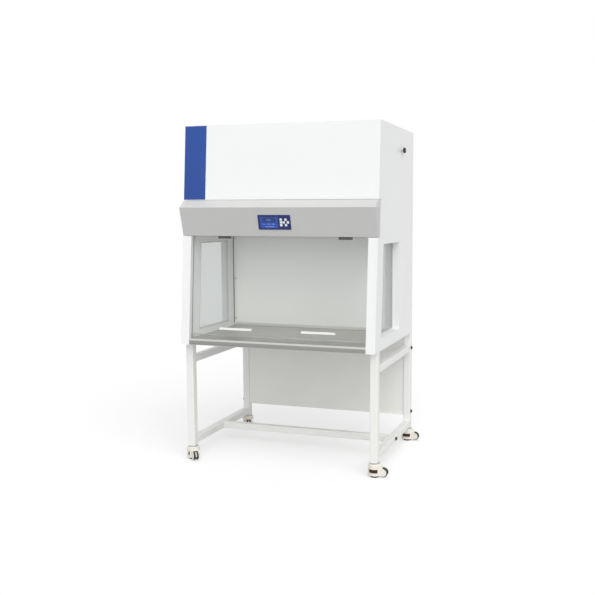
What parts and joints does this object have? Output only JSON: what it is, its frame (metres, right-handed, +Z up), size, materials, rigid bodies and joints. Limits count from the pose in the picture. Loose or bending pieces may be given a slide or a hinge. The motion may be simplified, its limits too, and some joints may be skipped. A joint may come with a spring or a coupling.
{
  "type": "laminar flow hood",
  "caption": "Vertical laminar flow bench with a sloped front, sliding glass sash, side windows and control console on a welded stand with levelling casters",
  "frame": {"origin": "centre of the bounding box on the floor under the pads", "axes": "+X to the operator's right, +Y from the open front to the rear, +Z up"},
  "size_m": [1.272, 0.9014, 2.005],
  "materials": {
    "white_enamel": "smooth white powder coat",
    "grey_enamel": "smooth grey powder coat",
    "liner_enamel": "pale grey powder coat",
    "stand_enamel": "off-white powder coat",
    "panel_enamel": "warm grey powder coat",
    "back_enamel": "grey-green powder coat",
    "stainless": "satin stainless steel",
    "galvanised": "zinc-coated sheet",
    "steel": "bright turned steel",
    "zinc": "zinc-plated fastener",
    "aluminium": "anodised extrusion",
    "clear_glass": "toughened glass",
    "sash_tint": "lightly tinted toughened glass",
    "screen_blue": "blue display window",
    "bezel_navy": "dark blue membrane surround",
    "white_plastic": "white moulded plastic",
    "black_plastic": "black moulded plastic",
    "gasket_rubber": "pale grey rubber seal",
    "filter_paper": "pleated glass-fibre paper",
    "filter_pad": "white synthetic pad",
    "lamp_white": "diffusing lamp cover",
    "uv_glass": "quartz lamp tube",
    "motor_enamel": "dark grey motor paint",
    "caster_cream": "cream painted casting",
    "caster_black": "black nylon wheel",
    "dial_red": "dark red moulded dial",
    "pad_rubber": "black rubber pad"
  },
  "bodies": {
    "bench": {"left_side_panel": "white_enamel", "right_side_panel": "white_enamel", "left_liner": "liner_enamel", "right_liner": "liner_enamel", "window_gaskets": "gasket_rubber", "window_panes": "clear_glass", "base_panel": "white_enamel", "rear_panel": "white_enamel", "roof_panel": "white_enamel", "prefilter_grille": "white_enamel", "prefilter": "filter_pad", "front_cover": "white_enamel", "apron": "grey_enamel", "display_bezel": "bezel_navy", "display_screen": "screen_blue", "controller_box": "galvanised", "worktop": "stainless", "back_wall": "back_enamel", "ceiling_panel": "liner_enamel", "diffuser_screen": "liner_enamel", "sash_guides": "aluminium", "filter_frame": "aluminium", "filter_media": "filter_paper", "plenum_box": "galvanised", "blower_scroll": "galvanised", "blower_motor": "motor_enamel", "led_lamp": "lamp_white", "ceiling_handles": "black_plastic", "uv_tube": "uv_glass", "uv_lamp_holders": "white_plastic", "test_port": "steel", "test_port_cap": "black_plastic", "power_inlet": "black_plastic", "panel_screws": "zinc", "left_stand_frame": "stand_enamel", "right_stand_frame": "stand_enamel", "stand_crossbar": "stand_enamel", "stand_back_panel": "panel_enamel", "stand_bolts": "zinc", "caster_plates": "steel"},
    "sash": {"sash_glass": "sash_tint", "sash_pulls": "white_plastic"},
    "fan_rotor": {"blower_wheel": "galvanised", "blower_shaft": "steel"},
    "front_left_swivel": {"front_left_caster_housing": "caster_cream"},
    "front_left_wheel": {"front_left_caster_wheel": "caster_black"},
    "front_left_dial": {"front_left_caster_dial": "dial_red"},
    "front_left_foot": {"front_left_caster_foot": "pad_rubber"},
    "front_right_swivel": {"front_right_caster_housing": "caster_cream"},
    "front_right_wheel": {"front_right_caster_wheel": "caster_black"},
    "front_right_dial": {"front_right_caster_dial": "dial_red"},
    "front_right_foot": {"front_right_caster_foot": "pad_rubber"},
    "rear_left_swivel": {"rear_left_caster_housing": "caster_cream"},
    "rear_left_wheel": {"rear_left_caster_wheel": "caster_black"},
    "rear_left_dial": {"rear_left_caster_dial": "dial_red"},
    "rear_left_foot": {"rear_left_caster_foot": "pad_rubber"},
    "rear_right_swivel": {"rear_right_caster_housing": "caster_cream"},
    "rear_right_wheel": {"rear_right_caster_wheel": "caster_black"},
    "rear_right_dial": {"rear_right_caster_dial": "dial_red"},
    "rear_right_foot": {"rear_right_caster_foot": "pad_rubber"}
  },
  "joints": [
    {"name": "sash_slide", "type": "slide", "parent": "bench", "child": "sash", "axis": [0, 0.0836, 0.9965], "range_m": [0, 0.525]},
    {"name": "fan_spin", "type": "hinge", "parent": "bench", "child": "fan_rotor", "pos_m": [-0.0205, -0.05075, 1.755], "axis": [1, 0, 0], "continuous": true},
    {"name": "front_left_swivel", "type": "hinge", "parent": "bench", "child": "front_left_swivel", "pos_m": [-0.598, -0.37025, 0.06], "axis": [0, 0, 1], "continuous": true},
    {"name": "front_left_roll", "type": "hinge", "parent": "front_left_swivel", "child": "front_left_wheel", "pos_m": [-0.56187, -0.41038, 0.03], "axis": [0.7431, 0.6691, 0], "continuous": true},
    {"name": "front_left_pad_lift", "type": "slide", "parent": "front_left_swivel", "child": "front_left_foot", "axis": [0, 0, 1], "range_m": [0, 0.01]},
    {"name": "front_left_dial_turn", "type": "hinge", "parent": "front_left_swivel", "child": "front_left_dial", "pos_m": [-0.598, -0.37025, 0.037], "axis": [0, 0, 1], "range_deg": [0, 1201]},
    {"name": "front_right_swivel", "type": "hinge", "parent": "bench", "child": "front_right_swivel", "pos_m": [0.557, -0.37025, 0.06], "axis": [0, 0, 1], "continuous": true},
    {"name": "front_right_roll", "type": "hinge", "parent": "front_right_swivel", "child": "front_right_wheel", "pos_m": [0.611, -0.37025, 0.03], "axis": [0, 1, 0], "continuous": true},
    {"name": "front_right_pad_lift", "type": "slide", "parent": "front_right_swivel", "child": "front_right_foot", "axis": [0, 0, 1], "range_m": [0, 0.01]},
    {"name": "front_right_dial_turn", "type": "hinge", "parent": "front_right_swivel", "child": "front_right_dial", "pos_m": [0.557, -0.37025, 0.037], "axis": [0, 0, 1], "range_deg": [0, 1201]},
    {"name": "rear_left_swivel", "type": "hinge", "parent": "bench", "child": "rear_left_swivel", "pos_m": [-0.598, 0.41275, 0.06], "axis": [0, 0, 1], "continuous": true},
    {"name": "rear_left_roll", "type": "hinge", "parent": "rear_left_swivel", "child": "rear_left_wheel", "pos_m": [-0.571, 0.36598, 0.03], "axis": [0.866, 0.5, 0], "continuous": true},
    {"name": "rear_left_pad_lift", "type": "slide", "parent": "rear_left_swivel", "child": "rear_left_foot", "axis": [0, 0, 1], "range_m": [0, 0.01]},
    {"name": "rear_left_dial_turn", "type": "hinge", "parent": "rear_left_swivel", "child": "rear_left_dial", "pos_m": [-0.598, 0.41275, 0.037], "axis": [0, 0, 1], "range_deg": [0, 1201]},
    {"name": "rear_right_swivel", "type": "hinge", "parent": "bench", "child": "rear_right_swivel", "pos_m": [0.557, 0.41275, 0.06], "axis": [0, 0, 1], "continuous": true},
    {"name": "rear_right_roll", "type": "hinge", "parent": "rear_right_swivel", "child": "rear_right_wheel", "pos_m": [0.611, 0.41275, 0.03], "axis": [0, 1, 0], "continuous": true},
    {"name": "rear_right_pad_lift", "type": "slide", "parent": "rear_right_swivel", "child": "rear_right_foot", "axis": [0, 0, 1], "range_m": [0, 0.01]},
    {"name": "rear_right_dial_turn", "type": "hinge", "parent": "rear_right_swivel", "child": "rear_right_dial", "pos_m": [0.557, 0.41275, 0.037], "axis": [0, 0, 1], "range_deg": [0, 1201]}
  ],
  "couplings": [
    {"joint": "front_left_dial_turn", "follows": "front_left_pad_lift", "rad_per_m": 2094.4},
    {"joint": "front_right_dial_turn", "follows": "front_right_pad_lift", "rad_per_m": 2094.4},
    {"joint": "rear_left_dial_turn", "follows": "rear_left_pad_lift", "rad_per_m": 2094.4},
    {"joint": "rear_right_dial_turn", "follows": "rear_right_pad_lift", "rad_per_m": 2094.4}
  ]
}
